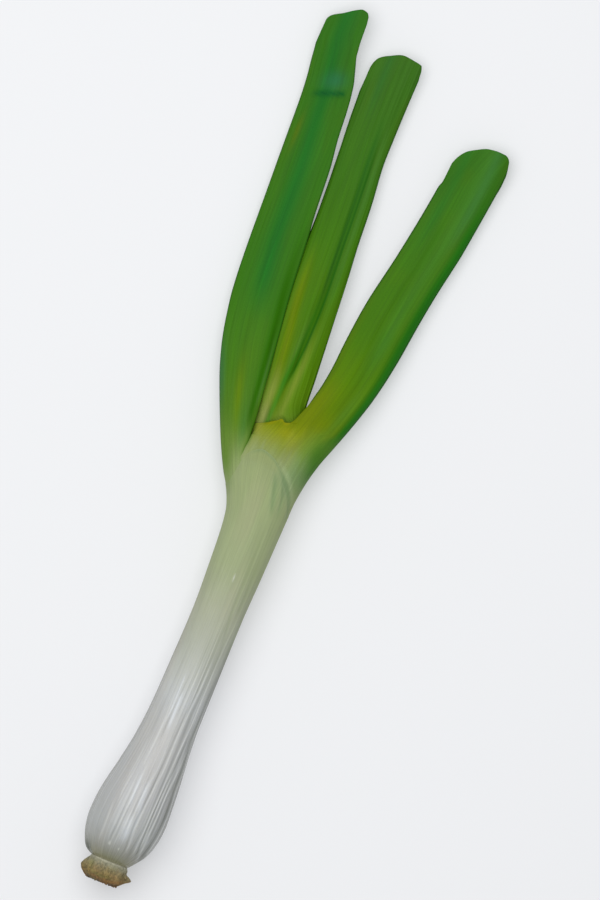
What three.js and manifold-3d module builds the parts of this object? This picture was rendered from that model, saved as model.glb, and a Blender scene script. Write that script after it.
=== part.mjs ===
// A leek, trimmed for sale and lying on its side: a root plate with its roots cut short, a long
// blanched shank that swells into a bulb, and three blades that fan out of the shank's mouth.
// Two of the blades are folded along a keel, one to each side, and the third is open, with a crease.
// Millimetres. X runs across the fan, Y along the shank towards the tips, and Z up from the surface
// that the leek lies on. Each shape is written with y = 0 at the cut end of the roots and x = 0 near
// the shank's axis; CENTRE then moves the whole leek so that its origin is under its middle.
import * as THREE from "three";
import Module from "manifold-3d";

const wasm = await Module();
wasm.setup();

const CENTRE = { x: -2.6, y: 226.6 }; // the middle of the leek's outline, seen from above
const GAP = 0.3; // between pieces that touch
const DEGREE = Math.PI / 180;

const COLOURS = {
  root_plate: 0x9c8257,
  shank: 0xdfe1d2,
  leaf_left: 0x357a26,
  leaf_middle: 0x4f8a22,
  leaf_right: 0x457d1b,
};

// A smooth curve through [position, value] pairs that never swings past its points.
function profile(points) {
  const [at, value] = [points.map((p) => p[0]), points.map((p) => p[1])];
  const last = points.length - 1;
  const rise = (i) => (value[i + 1] - value[i]) / (at[i + 1] - at[i]);
  const slope = at.map((_, i) => {
    if (i === 0) return rise(0);
    if (i === last) return rise(last - 1);
    const [before, after] = [rise(i - 1), rise(i)];
    return before * after <= 0 ? 0 : (2 * before * after) / (before + after);
  });
  return (x) => {
    if (x <= at[0]) return value[0];
    if (x >= at[last]) return value[last];
    const i = at.findIndex((a, n) => n < last && x <= at[n + 1]);
    const span = at[i + 1] - at[i];
    const t = (x - at[i]) / span;
    return (
      value[i] * (1 + 2 * t) * (1 - t) ** 2 +
      slope[i] * span * t * (1 - t) ** 2 +
      value[i + 1] * t * t * (3 - 2 * t) +
      slope[i + 1] * span * t * t * (t - 1)
    );
  };
}

// Places along the leek: each span is [from, to, step], and the last one ends the list.
function stations(spans) {
  const list = spans.flatMap(([from, to, step]) => {
    const count = Math.round(Math.abs(to - from) / step);
    return Array.from({ length: count }, (_, i) => from + ((to - from) * i) / count);
  });
  return [...list, spans.at(-1)[1]];
}

const smooth = (from, to, x) => THREE.MathUtils.smoothstep(x, from, to);
const mix = THREE.MathUtils.lerp;

// Every fourth number below is a height, so all points pass through here.
const point = (x, y, z) => [x - CENTRE.x, y - CENTRE.y, z];

// A closed solid from its points and triangles, turned so that its faces look outwards.
function solid(points, faces) {
  const make = (triangles) => {
    const vertProperties = new Float32Array(points.flat());
    const triVerts = new Uint32Array(triangles.flat());
    return new wasm.Manifold(new wasm.Mesh({ numProp: 3, vertProperties, triVerts }));
  };
  const made = make(faces);
  return made.volume() < 0 ? make(faces.map(([a, b, c]) => [a, c, b])) : made;
}

// Closed rings of equal length, from one end point to the other.
function ringSolid(first, rings, last) {
  const around = rings[0].length;
  const points = [first, ...rings.flat(), last];
  const id = (ring, k) => 1 + ring * around + (k % around);
  const faces = [];
  for (let k = 0; k < around; k++) {
    faces.push([0, id(0, k), id(0, k + 1)]);
    for (let ring = 0; ring + 1 < rings.length; ring++) {
      faces.push([id(ring, k), id(ring + 1, k), id(ring + 1, k + 1)]);
      faces.push([id(ring, k), id(ring + 1, k + 1), id(ring, k + 1)]);
    }
    faces.push([id(rings.length - 1, k), points.length - 1, id(rings.length - 1, k + 1)]);
  }
  return solid(points, faces);
}

// A sheet with a thickness: each section holds two rows of points of equal length, outer and inner.
function sheetSolid(sections) {
  const across = sections[0].outer.length;
  const points = sections.flatMap(({ outer, inner }) => [...outer, ...inner]);
  const outer = (n, i) => n * 2 * across + i;
  const inner = (n, i) => outer(n, i) + across;
  const faces = [];
  const quad = (a, b, c, d) => faces.push([a, b, c], [a, c, d]);
  for (let n = 0; n + 1 < sections.length; n++) {
    for (let i = 0; i + 1 < across; i++) {
      quad(outer(n, i), outer(n, i + 1), outer(n + 1, i + 1), outer(n + 1, i));
      quad(inner(n, i), inner(n + 1, i), inner(n + 1, i + 1), inner(n, i + 1));
    }
    quad(outer(n, 0), outer(n + 1, 0), inner(n + 1, 0), inner(n, 0));
    const end = across - 1;
    quad(outer(n, end), inner(n, end), inner(n + 1, end), outer(n + 1, end));
  }
  const tip = sections.length - 1;
  for (let i = 0; i + 1 < across; i++) {
    quad(outer(0, i), inner(0, i), inner(0, i + 1), outer(0, i + 1));
    quad(outer(tip, i), outer(tip, i + 1), inner(tip, i + 1), inner(tip, i));
  }
  return solid(points, faces);
}

// What would reach under the surface is pressed flat on it.
const onTheSurface = (made) => made.trimByPlane([0, 0, 1], 0);

function meshOf(name, made, roughness) {
  const { vertProperties, triVerts } = made.getMesh();
  const geometry = new THREE.BufferGeometry();
  geometry.setAttribute("position", new THREE.BufferAttribute(vertProperties, 3));
  geometry.setIndex(new THREE.BufferAttribute(triVerts, 1));
  geometry.computeVertexNormals();
  const color = COLOURS[name];
  const material = new THREE.MeshStandardMaterial({ color, roughness, metalness: 0 });
  const mesh = new THREE.Mesh(geometry, material);
  mesh.name = name;
  return mesh;
}

// The shank: the blanched sheaths, tight round each other, with the outermost one's mouth as a rim.

const SHANK_FOOT = 11.5;
const SOCKET_FLOOR = 182;
const COLLAR = 217; // the rim's middle height along the leek
const SHEATH_WALL = 0.8;
const RIDGE = 0.22; // how far the sheath's long ridges stand out
const RIDGE_COUNTS = [9, 14, 23];

const shankLeft = profile([
  [11.5, -11.3],
  [14, -15.2],
  [19, -17.9],
  [25, -19.6],
  [32, -20.4],
  [40, -20],
  [48, -18.8],
  [60, -16.3],
  [76, -13.5],
  [92, -12],
  [115, -11.1],
  [145, -10.4],
  [170, -11.3],
  [186, -12.2],
  [196, -13.5],
  [202, -15.5],
  [208, -18.5],
  [214, -22.8],
  [226, -29.4],
  [232, -32.2],
]);
const shankRight = profile([
  [11.5, 8],
  [14, 10],
  [19, 13.8],
  [25, 16.4],
  [32, 17.9],
  [38, 18.3],
  [48, 17.9],
  [60, 17.1],
  [76, 15.7],
  [92, 15],
  [145, 15.1],
  [170, 15.9],
  [196, 16.7],
  [210, 17.2],
  [222, 18.8],
  [232, 21],
]);
// Where the section is highest: in its middle low down, right of it where the left blade spreads.
const shankCrest = profile([
  [11.5, -1.6],
  [34, -1.1],
  [60, 0.4],
  [92, 1.5],
  [186, 2.1],
  [200, 1.4],
  [216, 0.2],
  [232, -0.5],
]);
const shankAxis = profile([
  [11.5, 19],
  [34, 18.9],
  [200, 15.3],
  [216, 15],
  [232, 14.4],
]);
const shankHeight = profile([
  [184, 1],
  [196, 0.907],
  [202, 0.815],
  [208, 0.708],
  [216, 0.565],
  [224, 0.46],
  [232, 0.395],
]); // as a share of its half width
// The rim's height along the leek, by the angle round the shank from the left blade's side.
const rim = profile([
  [0, 208],
  [20, 208.6],
  [39, 213],
  [50, 218.5],
  [58, 224.5],
  [67, 228.7],
  [77, 231],
  [91, 228.2],
  [105, 223],
  [124, 216],
  [136, 212],
  [165, 204],
  [180, 203],
]);

function shankPoint(angle, y, inset, ridges) {
  const crest = shankCrest(y);
  const side = Math.cos(angle) > 0 ? crest - shankLeft(y) : shankRight(y) - crest;
  const height = ((shankRight(y) - shankLeft(y)) / 2) * shankHeight(y);
  const wave = RIDGE_COUNTS.reduce((sum, n, i) => sum + Math.cos(n * angle + 2 * i), 0);
  const out = ridges * wave * smooth(14, 24, y) - inset;
  const x = crest - (side + out) * Math.cos(angle);
  const z = shankAxis(y) + (height + out) * Math.sin(angle);
  return point(x, y, z);
}

function shank() {
  const around = 72;
  const angles = Array.from({ length: around }, (_, k) => (2 * Math.PI * k) / around);
  const middle = (y) => point(shankCrest(y), y, shankAxis(y));
  // A ring that is level low on the shank and follows the rim near the collar.
  const ring = (y, inset, ridges, level) =>
    angles.map((angle) => {
      const fromSide = Math.abs(angle > Math.PI ? angle - 2 * Math.PI : angle) / DEGREE;
      const lift = smooth(level, COLLAR, y) * (rim(fromSide) - COLLAR);
      return shankPoint(angle, y + lift, inset, ridges);
    });
  const plain = SHANK_FOOT + GAP;
  const rings = [
    angles.map((angle) => shankPoint(angle, SHANK_FOOT, 6.2, 0).map((v, i) => (i === 1 ? v + 6 : v))),
    angles.map((angle) => shankPoint(angle, plain, 2.4, 0)),
    angles.map((angle) => shankPoint(angle, plain, 0.8, 0)),
  ];
  const outside = stations([
    [12.6, 48, 5.9],
    [48, 144, 16],
    [144, COLLAR, 8.1],
  ]);
  rings.push(...outside.map((y) => ring(y, 0, RIDGE / 3, 150)));
  const inside = stations([
    [COLLAR, 190, 9],
    [190, SOCKET_FLOOR, 8],
  ]);
  rings.push(...inside.map((y) => ring(y, SHEATH_WALL, 0, SOCKET_FLOOR)));
  const recess = middle(SHANK_FOOT);
  recess[1] += 6;
  return onTheSurface(ringSolid(recess, rings, middle(SOCKET_FLOOR)));
}

// The blades. A folded one is a sheet that goes round its keel from the front margin to the back
// one, and low down, inside the shank, it is the sheath that wraps what lies inside it.

const BLADE = 1.2; // thickness beside the keel
const KEEL = 1.8; // thickness at the keel
const MARGIN = 0.75; // thickness at the margins
const LEAF_FOOT = 184;

const LEFT = {
  tip: 453.5,
  keel: profile([
    [184, -10.8],
    [196, -12.1],
    [202, -14.2],
    [208, -17.3],
    [214, -21.6],
    [226, -28.2],
    [238, -33.6],
    [250, -38.6],
    [262, -43.3],
    [274, -47],
    [286, -49.6],
    [300, -51.7],
    [320, -53.1],
    [370, -55.2],
    [400, -56.2],
    [412, -57.1],
    [424, -58.6],
    [436, -59.3],
    [454, -58.8],
  ]),
  margin: profile([
    [184, 4],
    [205, -5],
    [217, -12],
    [224.5, -15.4],
    [234, -15.1],
    [244, -16.5],
    [264, -18.7],
    [289, -21.7],
    [304, -23.5],
    [345, -26.6],
    [364, -28.1],
    [389, -31],
    [404, -32.2],
    [416, -33.8],
    [424, -36],
    [434, -38.2],
    [454, -39],
  ]),
  depth: profile([
    [184, 13],
    [196, 13.9],
    [202, 15],
    [208, 16.9],
    [216, 20.4],
    [224, 24],
    [250, 24.2],
    [274, 25.2],
    [300, 26],
    [400, 23],
    [454, 19],
  ]),
  front: profile([
    [184, 12.8],
    [196, 12.3],
    [208, 11.1],
    [216, 10.1],
    [224, 9.3],
    [244, 9.2],
    [264, 8.6],
    [290, 7.6],
    [320, 6.6],
    [400, 5.6],
    [454, 5],
  ]),
  back: profile([
    [184, 12.8],
    [196, 12.3],
    [208, 11.1],
    [216, 10.1],
    [224, 9.3],
    [264, 8.4],
    [320, 6.4],
    [400, 5.6],
    [454, 4.6],
  ]),
  centre: profile([
    [184, 15.6],
    [208, 15.15],
    [224, 14.7],
    [244, 13.1],
    [264, 11.2],
    [290, 9.2],
    [320, 7.4],
    [350, 6.4],
    [385, 5.7],
    [410, 5.9],
    [430, 6.8],
    [454, 8.2],
  ]),
  tuck: profile([
    [226, 0],
    [250, 1],
    [300, 1.8],
    [360, 1.2],
    [454, 0.6],
  ]),
  cut: profile([
    [-59.4, 438],
    [-59, 442.5],
    [-57.6, 445],
    [-52, 448.4],
    [-46, 452.4],
    [-43.4, 453.5],
    [-41, 453],
    [-39.5, 451],
    [-38.9, 447],
  ]),
  spans: [
    [LEAF_FOOT, 208, 8],
    [208, 264, 7],
    [264, 420, 15.6],
    [420, 438, 6],
    [438, 453.5, 3.1],
  ],
};

const RIGHT = {
  tip: 413,
  keel: profile([
    [184, 15.2],
    [203, 15.6],
    [208, 16.2],
    [216, 17.6],
    [224, 19],
    [234, 21.5],
    [244, 25],
    [254, 28.5],
    [264, 31.7],
    [274, 34.5],
    [286, 37],
    [298, 38.9],
    [316, 41.2],
    [352, 46.7],
    [388, 52.2],
    [399, 53.7],
    [413, 54.1],
  ]),
  margin: profile([
    [184, -8.8],
    [208, -13.1],
    [224, -18],
    [235, -20.2],
    [238, -19],
    [244, -13],
    [246, -9],
    [249.3, -3],
    [252, 1.3],
    [255, 3.2],
    [258.5, 4.8],
    [264, 6.4],
    [272, 8.1],
    [284, 9.7],
    [294, 10.4],
    [316, 12.8],
    [346, 18.5],
    [370, 22.5],
    [392, 25.7],
    [413, 26.4],
  ]),
  depth: profile([
    [184, 12],
    [196, 12.9],
    [208, 15],
    [224, 18.5],
    [235, 20.9],
    [244, 22.5],
    [264, 24],
    [350, 24.4],
    [413, 23.4],
  ]),
  front: profile([
    [184, 11.1],
    [196, 10.7],
    [208, 9.8],
    [216, 9.3],
    [224, 9.1],
    [232, 9.2],
    [244, 9.6],
    [254, 9.4],
    [264, 8.9],
    [290, 7.6],
    [320, 6.6],
    [360, 6],
    [413, 5.2],
  ]),
  back: profile([
    [184, 11.1],
    [196, 10.7],
    [208, 9.8],
    [216, 9.3],
    [232, 9.2],
    [264, 8.7],
    [290, 7.4],
    [320, 6.4],
    [360, 5.8],
    [413, 4.8],
  ]),
  centre: profile([
    [184, 15.6],
    [208, 15.1],
    [224, 14.7],
    [244, 13.6],
    [264, 11.8],
    [290, 9.4],
    [320, 7.4],
    [350, 6.1],
    [372, 5.8],
    [390, 6.2],
    [413, 7.8],
  ]),
  tuck: profile([
    [250, 0],
    [300, 1],
    [413, 0.8],
  ]),
  // Beside the left blade's margin the sheath swells up to the shank's own skin.
  swell: profile([
    [184, 1.4],
    [208, 0.9],
    [216, 0.8],
    [224, 0.5],
    [234, 0],
  ]),
  cut: profile([
    [25.6, 394],
    [26.4, 399],
    [28, 403],
    [31, 407],
    [35, 409.6],
    [41, 412.4],
    [46, 413],
    [50, 412.8],
    [52.6, 410.8],
    [53.8, 406],
    [54.2, 402],
  ]),
  spans: [
    [LEAF_FOOT, 208, 8],
    [208, 232, 6],
    [232, 262, 3],
    [262, 382, 15],
    [382, 400, 6],
    [400, 413, 2.6],
  ],
};

const STRAIGHT_ANGLE = 178 * DEGREE; // a sheath's margins all but meet
const BACK_MARGIN_INSET = 1.6; // the back half is a little narrower than the front one

// The point at share s across a folded leaf: -1 is the back margin, 0 the keel, 1 the front margin.
function foldPoint(leaf, y, s, inner) {
  const keel = leaf.keel(y);
  const toMargin = Math.sign(leaf.margin(y) - keel);
  const depth = leaf.depth(y);
  const open = smooth(208, 262, y);
  const width = Math.abs(leaf.margin(y) - keel) - (s < 0 ? BACK_MARGIN_INSET * open : 0);
  const spread = Math.min(STRAIGHT_ANGLE, Math.acos(Math.max(-1, 1 - width / depth)));
  const angle = Math.abs(s) * spread;
  const thickness = inner ? mix(BLADE, MARGIN, smooth(0.6, 1, Math.abs(s)) * open) : 0;
  const keelThickness = inner ? KEEL * mix(BLADE / KEEL, 1, open) : 0;
  const half = s < 0 ? -leaf.back(y) + thickness : leaf.front(y) - thickness;
  const curl = s > 0 ? leaf.tuck(y) * smooth(0.72, 1.05, s) : 0;
  const x = keel + toMargin * (depth - (depth - keelThickness) * Math.cos(angle));
  const swell = leaf.swell ? Math.sign(s) * leaf.swell(y) * smooth(1, 6, x - LEFT.margin(y)) : 0;
  const z = leaf.centre(y) + (half + swell) * Math.sin(angle) - curl;
  return trimmed(leaf, x, y, z);
}

// The last stretch of a leaf is drawn back to the line that it was cut along.
function trimmed(leaf, x, y, z) {
  const reach = 32;
  const back = smooth(leaf.tip - reach, leaf.tip, y) * (leaf.tip - leaf.cut(x));
  return point(x, y - back, z);
}

function foldedLeaf(leaf) {
  const across = 24;
  const shares = Array.from({ length: across + 1 }, (_, i) => -1 + (2 * i) / across);
  const sections = stations(leaf.spans).map((y) => ({
    outer: shares.map((s) => foldPoint(leaf, y, s, false)),
    inner: shares.map((s) => foldPoint(leaf, y, s, true)),
  }));
  return onTheSurface(sheetSolid(sections));
}

// The middle leaf starts as the tight heart of the shank and opens into a sheet with a crease.
const MIDDLE = {
  tip: 440,
  left: profile([
    [184, -7],
    [196, -8.4],
    [208, -10.7],
    [224, -15.4],
    [236, -17.3],
    [244, -18.7],
    [264, -23],
    [290, -26.2],
    [320, -27],
    [345, -26.9],
    [364, -27.5],
    [384, -28.5],
    [404, -29.4],
    [424, -29.9],
    [440, -29.6],
  ]),
  right: profile([
    [184, 13.2],
    [203, 13.7],
    [208, 14.4],
    [224, 16.5],
    [232, 17.8],
    [244, 14],
    [252, 7.4],
    [258, 4.8],
    [274, 3.8],
    [304, 1.6],
    [324, 0.2],
    [344, -1.7],
    [364, -3],
    [390, -5.1],
    [440, -4.6],
  ]),
  crease: profile([
    [240, -10.5],
    [262, -9],
    [289, -7],
    [304, -6.7],
    [344, -8.5],
    [384, -10.6],
    [410, -12],
    [440, -13],
  ]),
  creaseDepth: profile([
    [240, 1.4],
    [256, 2.4],
    [330, 2.2],
    [380, 1.5],
    [408, 0.5],
    [440, 0.3],
  ]),
  heart: profile([
    [184, 9.3],
    [196, 8.9],
    [208, 8],
    [216, 7.5],
    [236, 7.2],
    [250, 6.7],
    [264, 5.6],
    [290, 4],
  ]), // half the height of the heart
  crown: profile([
    [236, 22.6],
    [250, 20],
    [264, 17.8],
    [290, 14.6],
    [320, 12.3],
    [350, 10.6],
    [400, 8.6],
    [420, 8.6],
    [440, 9.6],
  ]), // height of the open sheet's back
  droop: profile([
    [236, 5],
    [264, 4.6],
    [300, 3.6],
    [350, 3],
    [440, 2.6],
  ]), // how far its edges hang below that
  centre: profile([
    [184, 15.6],
    [208, 15.1],
    [224, 14.7],
    [244, 13.6],
    [264, 11.8],
    [290, 9.6],
  ]),
  cut: profile([
    [-30, 424],
    [-29.3, 430],
    [-27.4, 434],
    [-23, 437],
    [-15.4, 440],
    [-10, 439.4],
    [-6, 438.6],
    [-4.9, 436],
    [-4.5, 430],
  ]),
  spans: [
    [LEAF_FOOT, 232, 12],
    [232, 280, 6],
    [280, 412, 13.2],
    [412, 428, 5.3],
    [428, 440, 3],
  ],
};

const CREASE_WIDTH = 2.4;

function middlePoint(y, share, below) {
  const [left, right] = [MIDDLE.left(y), MIDDLE.right(y)];
  const turn = share * Math.PI;
  const x = mix(left, right, (1 - Math.cos(turn)) / 2);
  const side = below ? -1 : 1;
  const heart = MIDDLE.centre(y) + side * MIDDLE.heart(y) * Math.sin(turn);
  const fromCrease = (x - MIDDLE.crease(y)) / CREASE_WIDTH;
  const groove = MIDDLE.creaseDepth(y) * Math.exp(-fromCrease * fromCrease);
  const arch = MIDDLE.droop(y) * (1 - Math.sin(turn) ** 1.2);
  const keel = 0.6 * Math.exp(-fromCrease * fromCrease);
  const half = side * (mix(MARGIN, BLADE, Math.sin(turn)) + keel) * 0.5;
  const sheet = MIDDLE.crown(y) - arch - groove + half;
  return trimmed(MIDDLE, x, y, mix(heart, sheet, smooth(238, 288, y)));
}

function middleLeaf() {
  const across = 22;
  const shares = Array.from({ length: across + 1 }, (_, i) => i / across);
  // The two faces keep a little apart at the edges, where the heart's would meet.
  const lift = (p, up) => [p[0], p[1], p[2] + up];
  const sections = stations(MIDDLE.spans).map((y) => ({
    outer: shares.map((s) => lift(middlePoint(y, s, false), 0.1)),
    inner: shares.map((s) => lift(middlePoint(y, s, true), -0.1)),
  }));
  return onTheSurface(sheetSolid(sections));
}

// The root plate: the true stem, a low cone inside the bulb's foot, and the mat of cut roots on it.

const PLATE = { x: -1.6, z: 19, top: SHANK_FOOT - GAP, radius: 9.5, core: 5.4 };
const ROOT_COUNT = 34;
const ROOT_RADIUS = 1.25;
const ROOT_LENGTH = 6.4;
// Radius of the mat, from its cut face up to where it meets the bulb.
const matRadius = profile([
  [0.6, 8.4],
  [1.8, 9.9],
  [3.6, 11.7],
  [5.4, 12.5],
  [7.4, 11.7],
  [9.4, 10.3],
  [11.2, 9.5],
]);

// A seeded draw, so that every build has the same roots.
let seed = 7;
function draw() {
  seed = (seed * 16807) % 2147483647;
  return seed / 2147483647;
}

function rootPlate() {
  const around = 44;
  const angles = Array.from({ length: around }, (_, k) => (2 * Math.PI * k) / around);
  const ring = (y, radius, flute) =>
    angles.map((angle, k) => {
      const lobe = 1.3 * Math.exp(-(((angle - Math.PI) / 0.4) ** 2));
      const r = radius + flute * (Math.cos(5 * angle + 1) + (k % 2) + lobe - 0.5);
      return point(PLATE.x - r * Math.cos(angle), y, PLATE.z + r * Math.sin(angle));
    });
  const skirt = [0.6, 1.8, 3.6, 5.4, 7.4, 9.4];
  const rings = [
    ring(0.5, 6, 0),
    ...skirt.map((y) => ring(y, matRadius(y), 0.5 * (1 - smooth(5, 11, y)))),
    ring(PLATE.top, PLATE.radius, 0),
    ring(PLATE.top, 6.6, 0),
    ring(PLATE.top + PLATE.core, 3.1, 0),
  ];
  const cutFace = point(PLATE.x, 0.5, PLATE.z);
  const heart = point(PLATE.x, PLATE.top + PLATE.core, PLATE.z);
  const roots = Array.from({ length: ROOT_COUNT }, (_, n) => root(n));
  return wasm.Manifold.union([ringSolid(cutFace, rings, heart), ...roots]);
}

// One cut root of the mat's outer part: it leaves the plate outwards and down, and those nearest
// the edge lean the most.
function root(n) {
  const share = Math.sqrt(mix(0.45, 1, (n + 0.5) / ROOT_COUNT));
  const angle = n * 137.5 * DEGREE;
  const lean = share ** 2 * 58 * DEGREE;
  const length = ROOT_LENGTH + 1.1 * draw();
  const radius = ROOT_RADIUS * (0.8 + 0.4 * draw());
  const geometry = new THREE.CylinderGeometry(radius, radius, length, 5);
  geometry.deleteAttribute("normal").deleteAttribute("uv");
  geometry.translate(0, -length / 2, 0);
  geometry.rotateY(draw() * Math.PI);
  geometry.rotateZ(lean);
  geometry.rotateY(angle);
  const reach = 6.8 * share;
  const start = point(PLATE.x + reach * Math.cos(angle), 7, PLATE.z - reach * Math.sin(angle));
  geometry.translate(...start);
  return solidOf(geometry);
}

// A closed three.js geometry as a solid, its corners merged.
function solidOf(geometry) {
  const position = geometry.getAttribute("position");
  const points = [];
  const ids = [];
  for (let i = 0; i < position.count; i++) {
    const p = [position.getX(i), position.getY(i), position.getZ(i)];
    const same = points.findIndex((q) => Math.hypot(p[0] - q[0], p[1] - q[1], p[2] - q[2]) < 1e-4);
    ids.push(same < 0 ? points.push(p) - 1 : same);
  }
  const corners = Array.from(geometry.index.array, (i) => ids[i]);
  const faces = [];
  for (let i = 0; i < corners.length; i += 3) faces.push(corners.slice(i, i + 3));
  return solid(points, faces.filter(([a, b, c]) => a !== b && b !== c && c !== a));
}

const leek = new THREE.Group();
leek.add(
  meshOf("root_plate", rootPlate(), 0.95),
  meshOf("shank", shank(), 0.35),
  meshOf("leaf_left", foldedLeaf(LEFT), 0.5),
  meshOf("leaf_middle", middleLeaf(), 0.5),
  meshOf("leaf_right", foldedLeaf(RIGHT), 0.5),
);

export default leek;
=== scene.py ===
# A leek, trimmed for sale, lying on a pale studio floor and seen from straight above.
# Shapes are written in millimetres, with y = 0 at the cut end of the roots, running along the
# shank to the tips, x across the fan of leaves, and z up from the floor. to_row() moves them to
# the model's own frame, in metres.
import math

import bpy
import numpy as np
from mathutils import Matrix, Vector


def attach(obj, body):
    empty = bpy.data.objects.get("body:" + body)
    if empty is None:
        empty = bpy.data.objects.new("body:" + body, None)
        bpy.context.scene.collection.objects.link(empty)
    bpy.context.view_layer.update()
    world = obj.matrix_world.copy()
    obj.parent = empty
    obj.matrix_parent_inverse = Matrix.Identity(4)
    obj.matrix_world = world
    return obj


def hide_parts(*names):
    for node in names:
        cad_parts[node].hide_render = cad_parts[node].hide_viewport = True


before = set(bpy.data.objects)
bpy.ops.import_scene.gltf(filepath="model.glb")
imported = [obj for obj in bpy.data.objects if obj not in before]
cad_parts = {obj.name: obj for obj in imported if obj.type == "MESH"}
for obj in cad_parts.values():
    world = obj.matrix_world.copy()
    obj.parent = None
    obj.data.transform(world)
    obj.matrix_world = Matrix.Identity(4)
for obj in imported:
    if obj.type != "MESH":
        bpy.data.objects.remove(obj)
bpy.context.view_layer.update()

CENTRE = (-2.6, 226.6)  # the middle of the leek's outline, seen from above
MM = 0.001


# Small tools: curves, noise and colours

def profile(*points):
    """A smooth curve through (position, value) pairs that never swings past its points."""
    at, value = np.array(points, float).T
    rise = np.diff(value) / np.diff(at)
    before, after = rise[:-1], rise[1:]
    turns = before * after <= 0
    total = np.where(turns, 1, before + after)
    middle = np.where(turns, 0, 2 * before * after / total)
    slope = np.concatenate([rise[:1], middle, rise[-1:]])

    def read(x):
        x = np.clip(x, at[0], at[-1])
        i = np.clip(np.searchsorted(at, x) - 1, 0, len(at) - 2)
        span = at[i + 1] - at[i]
        t = (x - at[i]) / span
        return (
            value[i] * (1 + 2 * t) * (1 - t) ** 2
            + slope[i] * span * t * (1 - t) ** 2
            + value[i + 1] * t * t * (3 - 2 * t)
            + slope[i + 1] * span * t * t * (t - 1)
        )

    return read


def smooth(low, high, x):
    """0 below low, 1 above high, and an S between them; low may be the larger of the two."""
    t = np.clip((x - low) / (high - low), 0, 1)
    return t * t * (3 - 2 * t)


def window(x, start, full, fading, end):
    """1 from full to fading, 0 before start and after end, and soft in between."""
    return smooth(start, full, x) * smooth(end, fading, x)


def bell(x, middle, width):
    return np.exp(-(((x - middle) / width) ** 2))


def mix(a, b, share):
    return a + (b - a) * share


def noise(u, v, seed, wraps=None):
    """Soft random values from -1 to 1 over (u, v), one draw for each whole step of either."""
    draws = np.random.default_rng(seed).uniform(-1, 1, (64, 512))
    columns = wraps or 512
    i, j = np.floor(u).astype(int), np.floor(v).astype(int)
    s, t = smooth(0, 1, u - i), smooth(0, 1, v - j)

    def corner(right, up):
        return draws[(j + up) % 64, (i + right) % columns]

    return mix(mix(corner(0, 0), corner(1, 0), s), mix(corner(0, 1), corner(1, 1), s), t)


LIGHT = 1.10  # how bright a white surface that faces up comes out
LEAF_LIGHT = 1.06  # and how much brighter still the open leaves do


def tone(red, green, blue):
    """A screen colour, 0 to 255, as a linear one, under the studio's light."""
    c = np.array([red, green, blue]) / 255
    return np.where(c <= 0.04045, c / 12.92, ((c + 0.055) / 1.055) ** 2.4) / LIGHT


def length(vectors):
    return np.linalg.norm(vectors, axis=-1, keepdims=True)


def unit(vectors):
    return vectors / np.maximum(length(vectors), 1e-9)


def paint(base, colour, share):
    """Lays a colour over another, as thickly as share says; below 0 it lays nothing."""
    return base + (tone(*colour) - base) * np.clip(share, 0, 1)[..., None]


def coats(base, *layers):
    """Paints one colour after another over the base: layers are (red, green, blue, share)."""
    for *colour, share in layers:
        base = paint(base, colour, share)
    return base


def ramp(y, *steps):
    """A colour that changes along the leek: steps are (place, red, green, blue)."""
    at = [s[0] for s in steps]
    stops = np.array([tone(*s[1:]) for s in steps])
    return np.stack([np.interp(y, at, stops[:, k]) for k in range(3)], -1)


def to_row(points):
    return (points - (*CENTRE, 0)) * MM


def add_object(name, data):
    made = bpy.data.objects.new(name, data)
    bpy.context.collection.objects.link(made)
    return made


# The camera looks straight down, turned so that the leek leans to the right as it lies.

ROLL = math.radians(22)
LENS = 500  # a long one, because the leek is seen without perspective
SENSOR = 36
VIEW_LENGTH = 450  # millimetres that the picture's long side takes in
VIEW_CENTRE = (9.7, 237.6)
VIEW_LEVEL = 12  # height at which the picture's scale is true

camera_data = bpy.data.cameras.new("camera")
camera_data.lens = LENS
camera_data.sensor_width = SENSOR
camera = add_object("camera", camera_data)
distance = VIEW_LENGTH * LENS / SENSOR + VIEW_LEVEL
spot = Vector((VIEW_CENTRE[0] - CENTRE[0], VIEW_CENTRE[1] - CENTRE[1], distance)) * MM
camera.matrix_world = Matrix.Translation(spot) @ Matrix.Rotation(ROLL, 4, "Z")
bpy.context.scene.camera = camera


# The shank's outer skin

shank_left = profile(
    (11.5, -11.3), (14, -15.2), (19, -17.9), (25, -19.6), (32, -20.4), (40, -20), (48, -18.8),
    (60, -16.3), (76, -13.5), (92, -12), (115, -11.1), (145, -10.4), (170, -11.3), (186, -12.2),
    (196, -13.5), (202, -15.5), (208, -18.5), (214, -22.3), (226, -28.6), (232, -31.2),
)
shank_right = profile(
    (11.5, 8), (14, 10), (19, 13.8), (25, 16.4), (32, 17.9), (38, 18.3), (48, 17.9), (60, 17.1),
    (76, 15.7), (92, 15), (145, 15.1), (170, 15.9), (196, 16.7), (210, 17.2), (222, 18.8),
    (232, 21),
)
shank_crest = profile(
    (11.5, -1.6), (34, -1.1), (60, 0.4), (92, 1.5), (186, 2.1), (200, 1.4), (216, 0.2),
    (232, -0.5),
)
shank_axis = profile((11.5, 19), (34, 18.9), (200, 15.3), (216, 15), (232, 14.4))
shank_height = profile(
    (184, 1), (196, 0.907), (202, 0.815), (208, 0.708), (216, 0.565), (224, 0.46), (232, 0.395),
)
# Each fold has a half width in degrees, a strength and its angle along the leek.
mouth_folds = (
    (4.2, 0.5, profile((198, 118), (203, 115.7), (207, 112.3), (210, 110.2), (214, 106.4),
                       (217, 103.7), (221, 100))),
    (2.4, 0.4, profile((200, 132), (205, 130.4), (210, 127.7), (216, 120.4), (221, 112.6))),
    (3.0, 0.42, profile((204, 161), (210, 146), (213.2, 137.8), (217, 125.5), (220.7, 113.8),
                       (225, 101))),
)
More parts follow.
